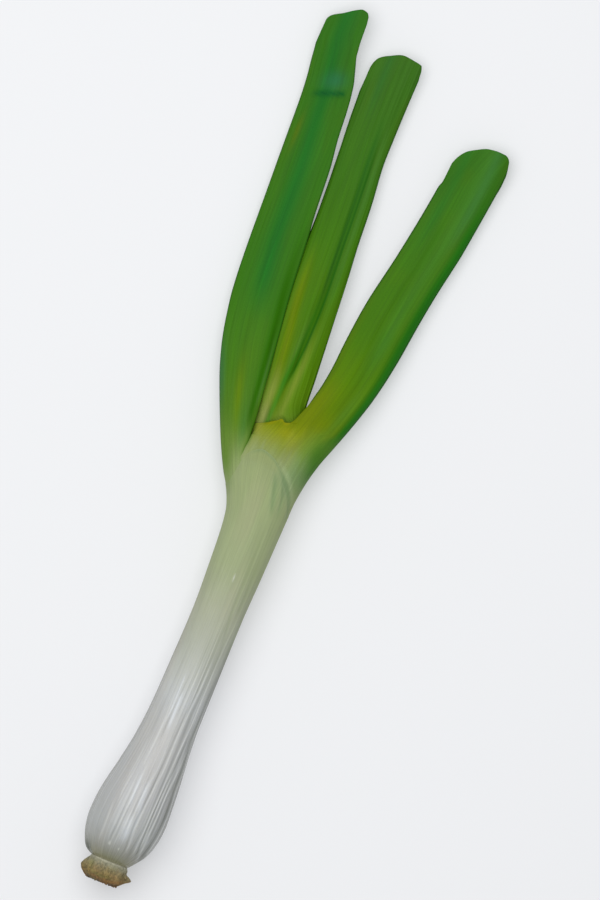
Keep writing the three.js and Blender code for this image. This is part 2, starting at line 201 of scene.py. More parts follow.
# The mouth's place along the leek, by the angle round the shank from the left leaf's side.
rim = profile(
    (0, 208), (20, 208.6), (39, 213), (50, 218.5), (58, 224.5), (67, 228.7), (77, 231),
    (90, 228.8), (101, 225.7), (123, 219.8), (142, 214), (155, 210), (165, 206), (180, 204),
)
COLLAR = 217
SOCKET_FLOOR = 182
BARREL = 150  # above this place the skin's rings lean over toward the mouth's slant
DIMPLE = (17.5, 19)  # how deep the skin turns in under the root mat, and at which height
SKIN_AROUND = 540  # points in a ring of the skin
GIRTH = 90  # the way round the skin, in its sheet coordinates


def half_width(on_left, y):
    """Half the section's width, on the left or on the right of its crest."""
    crest = shank_crest(y)
    return np.where(on_left, crest - shank_left(y), shank_right(y) - crest)


def half_height(y):
    return (shank_right(y) - shank_left(y)) / 2 * shank_height(y)


def from_left(angle):
    """The angle from the left leaf's side, in degrees, the same above and below."""
    return np.degrees(np.abs((angle + math.pi) % math.tau - math.pi))


# Ridges and furrows that run along the upper side of the skin: the ridges stand out and get a
# painted highlight, the furrows sink in and get painted shade. Each has a half width, a
# strength and its course, as (place along the leek, place across it) pairs.
RIDGES = (
    (0.45, 0.5, (22, -10.6), (30, -10.7), (38, -11)),
    (0.5, 0.45, (44, -9), (50, -8.6), (58, -8), (66, -7.2), (74, -6.8)),
    (0.45, 0.4, (24, -6.6), (34, -6.2), (42, -5.7), (54, -5)),
    (0.4, 0.6, (22, -4.6), (34, -4), (42, -3.5), (50, -3), (62, -2.4)),
    (0.4, 0.45, (22, -2.6), (34, -1.2), (42, -0.6), (54, -0.6)),
    (0.5, 0.5, (66, -4), (74, -3.2), (84, -2.5), (94, -1.5), (110, -1.1)),
    (0.6, 0.45, (30, 1), (42, 1.5), (50, 2), (58, 3), (66, 3.8), (94, 3.8), (104, 4.2), (120, 5)),
    (0.5, 0.65, (22, 4.4), (34, 4.6), (42, 5), (50, 5.5), (58, 6), (66, 6.9), (84, 7.1),
     (94, 7.5), (104, 8.3), (120, 8.8)),
    (0.34, 1.0, (22, 8.2), (34, 9), (42, 9.1), (50, 9.5), (58, 9.7), (74, 10.2), (94, 11.2),
     (116, 11.3), (129, 11.6), (144, 12.5)),
    (0.3, 1.0, (26, 10.1), (36, 10.5), (46, 10.7), (54, 10.9), (66, 11.3)),
    (0.25, 0.6, (30, 7.9), (42, 8)),
    (0.3, 1.0, (30, 11.8), (42, 12.3), (50, 12.4), (58, 12.8), (66, 13.4), (84, 14), (96, 14.1)),
    (0.4, 0.6, (18, 11), (24, 11.4), (30, 11.8)),
    (0.34, 0.9, (22, 14.6), (34, 16.7), (42, 17), (50, 16.6), (58, 16), (66, 15.9), (78, 15)),
    (0.5, 0.4, (150, 9.6), (164, 9.8), (184, 9.8), (198, 9.6)),
    (0.5, 0.3, (150, 12.8), (164, 12.9), (184, 13.1)),
)
FURROWS = (
    (0.4, 0.4, (24, -5.6), (34, -5.1), (42, -4.8), (54, -4.2)),
    (0.4, 0.4, (24, -3.5), (34, -3), (42, -2.5), (54, -1.8)),
    (0.4, 0.45, (28, -0.2), (42, 0.3), (50, 0.9), (60, 1.3)),
    (0.4, 0.4, (80, -1), (94, -0.5), (104, 0.2), (112, 0.6)),
    (0.5, 0.6, (20, 3.3), (34, 3.2), (42, 3.8), (50, 4.3), (58, 4.8), (66, 5.2), (84, 5.8),
     (94, 6.4), (104, 7.2), (120, 7.7), (140, 8)),
    (0.5, 0.4, (94, 2.5), (104, 2.8), (116, 3.5), (132, 3.9)),
    (0.7, 0.55, (18, 6), (26, 7), (34, 7.9), (50, 8.4), (74, 9), (94, 9), (104, 9.6), (129, 10.5),
     (150, 8.6), (190, 8.6)),
    (0.4, 0.9, (20, 9.6), (34, 9.9), (50, 10.2), (58, 10.6), (66, 11.2), (84, 11.8)),
    (0.3, 0.8, (34, 11.2), (44, 11.6), (54, 11.8), (62, 12.1)),
    (0.5, 0.7, (30, 12.8), (42, 13.2), (50, 13.4), (58, 13.9), (66, 14.3)),
    (0.9, 1.15, (18, 12), (26, 13.9), (34, 15.2), (42, 15.7), (50, 15.4), (58, 14.9), (66, 14.8),
     (84, 13.5), (104, 13.6), (116, 14), (150, 14.6)),
    (0.4, 0.6, (36, 17.5), (42, 17.6), (50, 17.3), (58, 16.8), (74, 15.6), (94, 14.6)),
    (0.6, 0.5, (150, 11.5), (164, 11.6), (190, 11.6), (202, 11.8)),
)


def lengthwise(lines, x, y):
    """How much of any of the lines a point lies on, from 0 to 1."""
    share = 0 * x
    for width, strength, *course in lines:
        start, end = course[0][0], course[-1][0]
        fade = window(y, start - 5, start + 3, end - 6, end + 9)
        fade = fade * (0.8 + 0.2 * noise(y / 11, course[0][1] + 0 * y + 90, 15))
        share = np.maximum(share, strength * fade * bell(x, profile(*course)(y), width))
    return share


def skin_lines(x, y, z):
    """Ridges and furrows along the upper skin, each from 0 to 1: the ridges take a painted
    highlight and the furrows painted shade.
    """
    above = smooth(-3, 1, z - shank_axis(y))
    return lengthwise(RIDGES, x, y) * above, lengthwise(FURROWS, x, y) * above


def shank_relief(angle, y):
    """How far the skin stands out of its plain shape: long ridges, and ripples by the mouth."""
    turn = np.degrees(angle) % 360
    around = turn / 360
    low = smooth(13, 26, y)
    relief = 0.05 * low * noise(around * 160, y / 60, 3, 160) * smooth(180, 120, y)
    relief += 0.10 * low * noise(around * 34, y / 90, 5, 34)
    x = shank_crest(y) - half_width(np.cos(angle) > 0, y) * np.cos(angle)
    light, dark = skin_lines(x, y, shank_axis(y) + 9 * np.sin(angle))
    relief += 0.22 * light - 0.18 * dark
    under = window(turn, 184, 200, 340, 356)
    relief += 0.16 * under * low * smooth(190, 140, y) * noise(around * 110, y / 55, 8, 110)
    gathers = window(y, 11, 13, 20, 32)
    relief += 0.12 * gathers * noise(around * 64, y / 22, 6, 64)
    relief += 0.08 * gathers * noise(around * 150, y / 14, 7, 150)
    for width, strength, fold_angle in mouth_folds:
        fade = strength * window(y, 199, 208, 217, 226)
        relief -= 0.2 * bell(turn, fold_angle(y), width) * fade
    relief -= 0.5 * bell(turn, 27, 6) * bell(y, 14.5, 3)
    return np.maximum(relief, -smooth(-1, -14, y - rim(from_left(angle))))


def lip(angle):
    """The skin's thickness at its mouth: next to nothing, so that no step shows there."""
    return 0.03 + 0.03 * smooth(60, 80, from_left(angle))


def shank_points(angle, y, inset):
    """The skin's outside, or a plain surface that lies the inset further in."""
    out = np.where(inset > 0, 0, shank_relief(angle, y)) - inset
    x = shank_crest(y) - (half_width(np.cos(angle) > 0, y) + out) * np.cos(angle)
    z = shank_axis(y) + (half_height(y) + out) * np.sin(angle)
    return x, z


# Meshes

LAYER_KINDS = {
    "tone": ("FLOAT_COLOR", "color"),
    "sheet": ("FLOAT_VECTOR", "vector"),
    "matt": ("FLOAT", "value"),
}


def add_piece(name, points, faces, node, slot, material, **layers):
    """One piece of the leek: a mesh with its colours and sheet coordinates on its points."""
    mesh = bpy.data.meshes.new(name)
    mesh.from_pydata(points.reshape(-1, 3).tolist(), [], faces)
    for layer, values in layers.items():
        kind, unit = LAYER_KINDS[layer]
        if layer == "tone":
            values = values.reshape(-1, 3)
            values = np.concatenate([values, np.ones((len(values), 1))], 1)
        field = mesh.attributes.new(layer, kind, "POINT")
        field.data.foreach_set(unit, values.ravel())
    mesh.materials.append(material)
    mesh.shade_smooth()
    mesh.update()
    piece = add_object(name, mesh)
    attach(piece, "root")
    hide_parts(node)


def ring_faces(rows, around):
    """Quads between closed rings of points, each ring after the one before."""
    k = np.arange(around)
    after = (k + 1) % around
    start = np.arange(rows - 1)[:, None] * around
    quads = np.stack([start + k, start + after, start + around + after, start + around + k], -1)
    return quads.reshape(-1, 4).tolist()


def fan(centre, first, around, outward):
    """Triangles from a centre point to a ring whose points start at first."""
    pairs = [(first + k, first + (k + 1) % around) for k in range(around)]
    return [(centre, b, a) if outward else (centre, a, b) for a, b in pairs]


# Materials

def new_material(name):
    material = bpy.data.materials.new(name)
    material.use_nodes = True
    tree = material.node_tree
    shader = tree.nodes["Principled BSDF"]
    return material, tree, shader


def set_inputs(tree, node, inputs):
    """Gives each named input its number or colour, or links it to another node's output."""
    for key, value in inputs.items():
        if isinstance(value, bpy.types.NodeSocket):
            tree.links.new(value, node.inputs[key])
        else:
            node.inputs[key].default_value = value


def add_node(tree, kind, inputs, **settings):
    made = tree.nodes.new(kind)
    for key, value in settings.items():
        setattr(made, key, value)
    set_inputs(tree, made, inputs)
    return made


def attribute(tree, name, output):
    return add_node(tree, "ShaderNodeAttribute", {}, attribute_name=name).outputs[output]


def stretched_noise(tree, scale, detail):
    """Noise in the sheet's own coordinates, in millimetres, drawn out along the leek."""
    sheet = attribute(tree, "sheet", "Vector")
    scaled = add_node(tree, "ShaderNodeVectorMath", {0: sheet, 1: scale}, operation="MULTIPLY")
    inputs = {"Vector": scaled.outputs[0], "Scale": 1.0, "Detail": detail, "Roughness": 0.55}
    return add_node(tree, "ShaderNodeTexNoise", inputs).outputs["Fac"]


def spread(tree, value, low, high):
    """A noise, most of which lies between 0.3 and 0.7, stretched from low to high."""
    inputs = {0: value, 1: 0.3, 2: 0.7, 3: low, 4: high}
    return add_node(tree, "ShaderNodeMapRange", inputs).outputs[0]


def add(tree, a, b, share):
    scaled = add_node(tree, "ShaderNodeMath", {0: b, 1: share}, operation="MULTIPLY")
    return add_node(tree, "ShaderNodeMath", {0: a, 1: scaled.outputs[0]}).outputs[0]


def shaded(tree, *swings):
    """The piece's own colour, swung by each noise between its darkest and its lightest."""
    colour = attribute(tree, "tone", "Color")
    for value, darkest, lightest in swings:
        shade = spread(tree, value, darkest, lightest)
        mixed = add_node(tree, "ShaderNodeMix", {}, data_type="RGBA", blend_type="MULTIPLY")
        set_inputs(tree, mixed, {0: 1.0, 6: colour, 7: shade})
        colour = mixed.outputs[2]
    return colour


def bump(tree, strength, distance, height):
    inputs = {"Strength": strength, "Distance": distance, "Height": height}
    return add_node(tree, "ShaderNodeBump", inputs).outputs[0]


def leaf_material():
    """Waxy leaf: fine parallel veins, soft mottling, hardly any gloss."""
    material, tree, shader = new_material("green_leaf")
    broad = stretched_noise(tree, (0.22, 0.02, 1), 2)
    streaks = stretched_noise(tree, (1.1, 0.02, 1), 3)
    veins = stretched_noise(tree, (3.4, 0.03, 1), 2)
    grain = stretched_noise(tree, (2.2, 1.4, 1), 4)
    colour = shaded(tree, (broad, 0.94, 1.06), (streaks, 0.92, 1.08), (veins, 0.94, 1.06),
                    (grain, 0.92, 1.08))
    height = add(tree, add(tree, veins, streaks, 1.2), grain, 0.25)
    set_inputs(tree, shader, {
        "Base Color": colour,
        "Roughness": spread(tree, streaks, 0.46, 0.58),
        "Normal": bump(tree, 0.3, 0.00015, height),
        "Specular IOR Level": 0.05,
    })
    return material


def shank_material():
    """Moist white sheath: glossy at the bulb, matt by its mouth, with fine lengthwise fibres."""
    material, tree, shader = new_material("white_shank")
    fibres = stretched_noise(tree, (1.1, 0.016, 1), 3)
    fine = stretched_noise(tree, (3.6, 0.04, 1), 3)
    cloud = stretched_noise(tree, (0.12, 0.03, 1), 2)
    colour = shaded(tree, (fibres, 0.93, 1.07), (fine, 0.93, 1.07), (cloud, 0.97, 1.03))
    rough = spread(tree, fibres, 0.20, 0.32)
    set_inputs(tree, shader, {
        "Base Color": colour,
        "Roughness": add(tree, rough, attribute(tree, "matt", "Fac"), 0.5),
        "Normal": bump(tree, 0.5, 0.0002, add(tree, fibres, fine, 0.5)),
        "Specular IOR Level": 0.35,
        "Subsurface Weight": 0.1,
        "Subsurface Radius": (1.0, 0.9, 0.6),
        "Subsurface Scale": 0.0015,
    })
    return material


def root_material():
    """Dried, trimmed roots: matt and fibrous."""
    material, tree, shader = new_material("root")
    place = add_node(tree, "ShaderNodeTexCoord", {}).outputs["Object"]
    clump, grit = (
        add_node(tree, "ShaderNodeTexNoise", {"Vector": place, "Scale": scale, "Detail": detail})
        .outputs["Fac"]
        for scale, detail in ((700.0, 4.0), (1900.0, 3.0))
    )
    set_inputs(tree, shader, {
        "Base Color": shaded(tree, (clump, 0.72, 1.26), (grit, 0.82, 1.16)),
        "Roughness": 0.8,
        "Normal": bump(tree, 0.7, 0.0003, grit),
    })
    return material


GREEN_LEAF = leaf_material()
WHITE_SHANK = shank_material()
ROOT = root_material()


# Colours that run on from piece to piece, along the leek

# Painted highlights: pale bluish streaks of light on the upper skin; each streak's place across,
# its start, its end and its width.
PAINTED_HIGHLIGHTS = (
    (0.7, 86, 101, 0.8), (-1.3, 92, 110, 0.5), (1.8, 42, 54, 1.3), (-2.8, 44, 56, 0.7),
    (0.6, 26, 36, 1.9), (3.4, 30, 42, 0.6),
)
SPECKS = ((-5, 20.6, 1.0), (0.3, 19.6, 0.6), (3, 166, 0.6))


def body_tone(x, y, z):
    """The colour of the shank and of the leaves' feet, wherever the skin passes from one to
    the next: white bulb, pale green neck, green shoulders and the mouth's faint arch, drawn as a
    thin painted shade line below the rim; it also holds painted shade on the flanks, along the
    outline and in the mouth's folds, and painted highlights on the upper skin."""
    up = (z - shank_axis(y)) / half_height(y)
    to_left = (shank_crest(y) - x) / half_width(x < shank_crest(y), y)
    turn = from_left(np.arctan2(up, to_left))
    beyond = y - rim(turn)
    above = smooth(-3, 1, z - shank_axis(y))
    # painted highlight: the pale stop at 11.4 is light on the crease where the skin meets the root
    # mat
    colour = ramp(
        y,
        (11.4, 166, 164, 140), (12.2, 152, 150, 122), (13.4, 138, 138, 112), (17, 148, 149, 138),
        (22, 166, 168, 164), (28, 178, 181, 180), (50, 187, 188, 188), (100, 191, 194, 193),
        (112, 184, 187, 180), (128, 174, 178, 163), (148, 168, 173, 148), (172, 158, 169, 128),
        (200, 153, 166, 119), (222, 148, 162, 110), (230, 146, 159, 100),
    )
    warm = noise(x / 5 + 20, y / 40, 18)
    # painted shade: the bulb's flanks are darkened where they turn away from the light
    painted_flank_shade = 0.65 * smooth(80, 30, turn) + 0.4 * smooth(126, 158, turn)
    # painted shade: a darker outline along both sides, where the skin turns down out of sight
    edges = smooth(26, 8, turn) + smooth(150, 172, turn) + 0.5 * smooth(158, 174, turn)
    colour = coats(
        colour,
        (176, 160, 140, 0.16 * warm * smooth(236, 210, y)),
        (150, 152, 146, 0.4 * painted_flank_shade * window(y, 15, 26, 92, 112)),
        (96, 101, 84, 0.45 * edges * window(y, 14, 20, 116, 142)),
    )
    # painted highlights: pale bluish streaks laid on the upper skin
    for place, start, end, width in PAINTED_HIGHLIGHTS:
        painted_highlight = bell(x, place, width) * window(y, start - 5, start + 3, end - 3, end + 5)
        colour = paint(colour, (218, 224, 230), 0.5 * painted_highlight * above)
    # painted shade: a dark line in the furrow under a lifted edge of skin, low on the bulb's left
    # side
    crease_shade_noise = 0.8 + 0.2 * noise(x * 1.1 + 40, y / 1.4, 19)
    colour = paint(colour, (62, 72, 60), 0.95 * crease_shade_noise * smooth(46, 28, turn) * bell(y, 14.4, 3.4))
    for spot_x, spot_y, size in SPECKS:
        away = np.hypot(x - spot_x, (y - spot_y) / 1.2)
        colour = paint(colour, (220, 222, 212), 0.5 * smooth(size, 0.3 * size, away) * above)
    arch = window(turn, 60, 72, 150, 166)
    right = smooth(96, 112, turn)
    colour = coats(
        colour,
        (100, 134, 54, smooth(50, 22, turn) * smooth(202, 222, y)),
        (108, 139, 90, 0.72 * smooth(2, 12, x) * smooth(206, 226, y)),
        (70, 118, 46, smooth(128, 158, turn) * smooth(213, 236, y)),
        # painted shade: a thin darker line just below the mouth's rim
        (104, 133, 84, (0.42 - 0.12 * right) * arch * bell(beyond, -0.6, 0.9)),
        (156, 172, 130, 0.5 * arch * bell(beyond, 1.6, 1.6)),
    )
    for width, strength, fold_angle in mouth_folds:
        fade = strength * window(y, 199, 208, 217, 226) * smooth(1, -1, beyond)
        colour = coats(
            colour,
            # painted shade: each fold darker in a broad soft band and in its groove; painted
            # highlight: a light line on its other side
            (120, 147, 100, 0.6 * bell(turn, fold_angle(y) + 2, 7) * fade),
            (98, 130, 84, 0.7 * bell(turn, fold_angle(y), width) * fade),
            (160, 174, 134, 0.4 * bell(turn, fold_angle(y) - 5, 2) * fade),
        )
    return colour


def make_shank():
    around = SKIN_AROUND
    angle = np.arange(around) / around * math.tau
    rings = []

    def add_ring(y, inset):
        x, z = shank_points(angle, y, inset)
        rings.append((x, np.broadcast_to(y, x.shape), z))

    def lifted(y, level):
        return y + smooth(level, COLLAR, y) * (rim(from_left(angle)) - COLLAR)

    for y, inset in ((DIMPLE[0], 6.2), (12.2, 3.4), (11.9, 1.8), (11.8, 0.6), (11.9, 0.2)):
        add_ring(y, inset)
    by_mouth = COLLAR - np.array([0.12, 0.04, 0])
    outside = np.concatenate([
        np.arange(12.2, 40, 0.9), np.arange(40, 124, 1.6), np.arange(124, 196, 2.4),
        np.arange(196, COLLAR - 0.3, 0.7), by_mouth,
    ])
    for y in outside:
        add_ring(lifted(y, BARREL), 0.0)
    edge = lip(angle)
    add_ring(lifted(COLLAR, BARREL) + 0.04, edge * 0.5)
    for y in (COLLAR, COLLAR - 2, 210, 204, 196, 190, SOCKET_FLOOR):
        depth = mix(0.8, edge, smooth(190, COLLAR, y))
        add_ring(lifted(y, SOCKET_FLOOR), depth)
    x, y, z = (np.array(part) for part in zip(*rings))
    z = np.maximum(z, 0)
    rows = len(rings)
    ends = np.array([
        [shank_crest(DIMPLE[0]), *DIMPLE],
        [shank_crest(SOCKET_FLOOR), SOCKET_FLOOR, shank_axis(SOCKET_FLOOR)],
    ])
    points = to_row(np.concatenate([np.stack([x, y, z], -1).reshape(-1, 3), ends]))
    faces = [f[::-1] for f in ring_faces(rows, around)]
    count = rows * around
    faces += fan(count, 0, around, False) + fan(count + 1, (rows - 1) * around, around, True)
    colour = body_tone(x, y, z)
    light, dark = skin_lines(x, y, z)
    # painted highlight along the ridges and painted shade along the furrows, over the relief that
    # raises and sinks them
    colour = coats(
        colour,
        (222, 225, 221, 0.7 * light * smooth(170, 90, y)),
        (98, 103, 92, 0.65 * dark * smooth(150, 100, y)),
        (124, 142, 90, 0.4 * dark * smooth(110, 150, y)),
        (166, 178, 134, 0.4 * light * smooth(110, 150, y)),
    )
    colour = np.concatenate([colour.reshape(-1, 3), [colour[0, 0], colour[-1, 0]]])
    sheet = np.stack([angle / math.tau * GIRTH + 0 * y, y, 0 * y], -1)
    sheet = np.concatenate([sheet.reshape(-1, 3), sheet[0, :2]])
    matt = smooth(95, 175, points[:, 1] / MM + CENTRE[1])
    add_piece("shank_skin", points, faces, "shank", "white_shank", WHITE_SHANK,
              tone=colour, sheet=sheet, matt=matt)


# The folded leaves

LEFT = {
    "tip": 453.5,
    "keel": profile(
        (184, -10.8), (196, -12.1), (202, -14.2), (208, -17.3), (214, -21.6), (226, -28.2),
        (238, -33.6), (250, -38.6), (262, -43.3), (274, -47), (286, -49.6), (300, -51.7),
        (320, -53.1), (370, -55.2), (400, -56.2), (412, -57.1), (424, -58.6), (436, -59.3),
        (454, -58.8),
    ),
    "margin": profile(
        (184, 4), (205, -5), (217, -12), (224.5, -15.4), (232, -15.4), (244, -17), (254, -18),
        (266, -19.2), (289, -21.9), (304, -23.7), (340, -26.7), (349, -27.6), (374, -29.2),
        (389, -31.1), (404, -32.2), (416, -33.8), (424, -36), (434, -38.2), (454, -39),
    ),
    "depth": profile(
        (184, 13), (196, 13.9), (202, 15), (208, 16.9), (216, 20.4), (224, 24), (250, 24.2),
        (274, 25.2), (300, 26), (400, 23), (454, 19),
    ),
    "front": profile(
        (184, 12.8), (196, 12.3), (208, 11.1), (216, 10.1), (224, 9.3), (244, 9.2), (264, 8.6),
        (290, 7.6), (320, 6.6), (400, 5.6), (454, 5),
    ),
    "back": profile(
        (184, 12.8), (196, 12.3), (208, 11.1), (216, 10.1), (224, 9.3), (264, 8.4), (320, 6.4),
        (400, 5.6), (454, 4.6),
    ),
    "centre": profile(
        (184, 15.6), (208, 15.15), (224, 14.7), (244, 13.1), (264, 11.2), (290, 9.2), (320, 7.4),
        (350, 6.4), (385, 5.7), (410, 5.9), (430, 6.8), (454, 8.2),
    ),
    "tuck": profile((226, 0), (250, 1), (300, 1.8), (360, 1.2), (454, 0.6)),
    "cut": profile(
        (-59.4, 438), (-59, 442.5), (-57.6, 445), (-52, 448.4), (-46, 452.4), (-43.4, 453.5),
        (-41, 453), (-39.5, 451), (-38.9, 447),
    ),
}

RIGHT = {
    "tip": 413,
    "keel": profile(
        (184, 15.2), (203, 15.6), (208, 16.2), (216, 17.6), (224, 19), (234, 21.5), (244, 25),
        (254, 28.5), (264, 31.7), (274, 34.5), (286, 37), (298, 38.9), (316, 41.2), (334, 44),
        (344, 45.9), (350, 47.1), (357, 48.4), (370, 50.2), (384, 52), (393, 53), (401, 53.7),
        (413, 54.1),
    ),
    "margin": profile(
        (184, -8.8), (208, -13.1), (224, -18), (235, -20.2), (238, -19.4), (241, -17),
        (243.6, -12.6), (245.2, -9.6), (247, -7.2), (248.3, -4.8), (249, -1.4), (250.4, 0.7),
        (252.4, 2), (255.2, 3.1), (258.5, 4.3), (264, 6.2), (272, 8.1), (284, 9.7), (294, 10.4),
        (316, 12.8), (346, 18.5), (370, 22.5), (384, 24.4), (396, 25.3), (404, 25.8), (413, 26.4),
    ),
    "depth": profile(
        (184, 12), (196, 12.9), (208, 15), (224, 18.5), (235, 20.9), (244, 22.5), (264, 24),
        (350, 24.4), (413, 23.4),
    ),
    "front": profile(
        (184, 11.1), (196, 10.7), (208, 9.8), (216, 9.3), (224, 9.1), (232, 9.2), (244, 9.6),
        (254, 9.4), (264, 8.9), (290, 7.6), (320, 6.6), (360, 6), (413, 5.2),
    ),
    "back": profile(
        (184, 11.1), (196, 10.7), (208, 9.8), (216, 9.3), (232, 9.2), (264, 8.7), (290, 7.4),
        (320, 6.4), (360, 5.8), (413, 4.8),
    ),
    "centre": profile(
        (184, 15.6), (208, 15.1), (224, 14.7), (244, 13.6), (264, 11.8), (290, 9.4), (320, 7.4),
        (350, 6.1), (372, 5.8), (390, 6.2), (413, 7.8),
    ),
    "tuck": profile((250, 0), (300, 1), (413, 0.8)),
    "swell": profile((184, 1.4), (208, 0.9), (216, 0.8), (224, 0.5), (234, 0)),
    "cut": profile(
        (25.6, 394), (26.4, 399), (28, 403), (31, 407), (35, 409.6), (41, 412.4), (46, 413),
        (50, 412.8), (52.6, 410.8), (53.8, 406), (54.2, 402),
    ),
}

BLADE, KEEL, MARGIN = 1.2, 1.8, 0.75  # how thick a leaf is, at its fold and at its edges
LEAF_FOOT = 184
SHEET_ACROSS, SHEET_EDGE = 121, 2  # points from margin to margin, and round each margin
CLOSING = 0.7  # the last stretch, in which the tip's edge is rounded
STRAIGHT_ANGLE = math.radians(178)
BACK_MARGIN_INSET = 1.6
TRIM_REACH = 32


def trimmed(leaf, x, y):
    """Draws the last stretch of a leaf back to the line that it was cut along."""
    share = smooth(leaf["tip"] - TRIM_REACH, leaf["tip"], y)
    return y - share * (leaf["tip"] - leaf["cut"](x))


def fold(leaf, y, s, inner):
    """A point of a folded leaf: s is -1 at the back margin, 0 at the keel, 1 at the front one."""
    keel = leaf["keel"](y)
    toward = np.sign(leaf["margin"](y) - keel)
    depth = leaf["depth"](y)
    spread_open = smooth(208, 262, y)
    width = np.abs(leaf["margin"](y) - keel) - np.where(s < 0, BACK_MARGIN_INSET * spread_open, 0)
    reach = np.minimum(STRAIGHT_ANGLE, np.arccos(np.maximum(-1, 1 - width / depth)))
    angle = np.abs(s) * reach
    thin = mix(BLADE, MARGIN, smooth(0.6, 1, np.abs(s)) * spread_open)
    keel_thin = KEEL * mix(BLADE / KEEL, 1, spread_open)
    thickness = thin if inner else 0
    half = np.where(s < 0, -leaf["back"](y) + thickness, leaf["front"](y) - thickness)
    curl = np.where(s > 0, leaf["tuck"](y) * smooth(0.72, 1.05, s), 0)
    x = keel + toward * (depth - (depth - (keel_thin if inner else 0)) * np.cos(angle))
    if "swell" in leaf:
        swell = np.sign(s) * leaf["swell"](y) * smooth(0.6, 2.4, x - LEFT["margin"](y))
        half = half + swell
    z = leaf["centre"](y) + half * np.sin(angle) - curl
    return x, z


def onto_skin(x, y, z, only_right):
    """Moves a leaf's outside onto the shank's skin by its mouth, so that no step shows there."""
    crest, axis = shank_crest(y), shank_axis(y)
    height = half_height(y)
    across, up = (x - crest) / half_width(x < crest, y), (z - axis) / height
    away = np.maximum(np.hypot(across, up), 0.05)
    angle = np.arctan2(up, -across)
    beyond = y - rim(from_left(angle))
    share = smooth(26, 3, beyond)
    if only_right:
        share = share * smooth(0.4, 2.4, x - LEFT["margin"](y))
    inset = mix(1.1, lip(angle) + 0.03, smooth(-22, -3, beyond))
    goal = 1 - inset / height
    factor = np.where(away < 1.3, (goal / away) ** share, 1)
    return crest + (x - crest) * factor, axis + (z - axis) * factor


def leaf_section_faces(rows):
    """A sheet with rounded margins: outside, front edge, inside, back edge, in closed rings."""
    across, edge = SHEET_ACROSS, SHEET_EDGE
    around = 2 * (across + edge)
    faces = ring_faces(rows, around)
    for row in (0, rows - 1):
        first = row * around
        outer = [first + i for i in range(across)]
        inner = [first + 2 * across + edge - 1 - i for i in range(across)]
        front = [first + across + j for j in range(edge)]
        back = [first + 2 * across + edge + j for j in range(edge)]
        caps = [(outer[i], outer[i + 1], inner[i + 1], inner[i]) for i in range(across - 1)]
        caps.append((outer[-1], *front, inner[-1]))
        caps.append((inner[0], *back, outer[0]))
        faces += caps if row else [c[::-1] for c in caps]
    return faces


def rounded(outer, inner, share, out):
    """Points round the edge of a sheet, between its outside and its inside."""
    middle, half = (outer + inner) / 2, (outer - inner) / 2
    turn = share * math.pi
    return middle + half * math.cos(turn) + out * math.sin(turn)


def along_rows(tip, *spans):
    """Places along a leaf: each span has its start and its step, and the tip is close-set."""
    ends = [start for start, _ in spans[1:]] + [tip - 8]
    rows = [np.arange(start, end, step) for (start, step), end in zip(spans, ends)]
    return np.concatenate(rows + [np.arange(tip - 8, tip, CLOSING), [tip]])


def make_leaf(name, section, relief, colours, rows):
    """A whole leaf from its section: outside and inside points, margins rounded, tip rounded."""
    across = SHEET_ACROSS
    y, s = np.meshgrid(rows, np.linspace(-1, 1, across), indexing="ij")
    outer = section(y, s, False)
    inner = section(y, s, True)
    # The relief presses both faces alike, along the sheet's own normal.
    normal = sheet_normal(outer)
    raised = relief(y, s, outer[..., 0])[..., None] * normal
    outer, inner = outer + raised, inner + raised
    into_tip = np.clip(rows - rows[-1] + CLOSING, 0, CLOSING) / (CLOSING + 0.02)
    closing = np.sqrt(np.clip(1 - into_tip**2, 0.02, 1))[:, None, None]
    middle = (outer + inner) / 2
    outer = middle + (outer - middle) * closing
    inner = middle + (inner - middle) * closing
    ring = [outer]
    for side, beside in ((-1, -2), (0, 1)):
        thick = length(outer[:, side] - inner[:, side])
        out = unit(outer[:, side] - outer[:, beside]) * thick * 0.45
        a, b = (outer, inner) if side else (inner, outer)
        edges = [rounded(a[:, side], b[:, side], k / 3, out) for k in (1, 2)]
        ring.append(np.stack(edges, 1))
        if side:
            ring.append(inner[:, ::-1])
    points = np.concatenate(ring, 1)
    points[..., 2] = np.maximum(points[..., 2], 0)
    order = np.concatenate([np.arange(across), [across - 1] * 2, np.arange(across)[::-1], [0] * 2])
    inside = np.concatenate([np.zeros(across), [0.3, 0.7], np.ones(across), [0.7, 0.3]])
    drawn_y, drawn_s = y[:, order], s[:, order]
    reach = np.cumsum(length(np.diff(outer, axis=1))[..., 0], 1)
    reach = np.concatenate([np.zeros((len(rows), 1)), reach], 1)
    reach = reach - reach[:, across // 2][:, None]
    sheet = np.stack([reach[:, order], drawn_y, 50 * inside + 0 * drawn_y], -1)
    colour = colours(*np.moveaxis(points, -1, 0), drawn_s, inside + 0 * drawn_y)
    faces = [f[::-1] for f in leaf_section_faces(len(rows))]
    add_piece(name + "_blade", to_row(points), faces, name, "green_leaf", GREEN_LEAF,
              tone=colour, sheet=sheet)


def sheet_normal(points):
    """The outward direction of a sheet of points, from its neighbours in both directions."""
    return unit(np.cross(np.gradient(points, axis=0), np.gradient(points, axis=1)))


# The rim of the right leaf's sheath, where it crosses in front of the middle leaf.
rim_line = profile(
    (-16, 241.4), (-12.5, 243.7), (-10, 245), (-8, 246.6), (-6.5, 248.1), (-4.5, 249.2),
    (-3.3, 249), (-2, 248), (-0.5, 248.8), (0.5, 250), (1.7, 252), (2.8, 254.5), (3.8, 257),
    (4.8, 260), (6.4, 264),
)


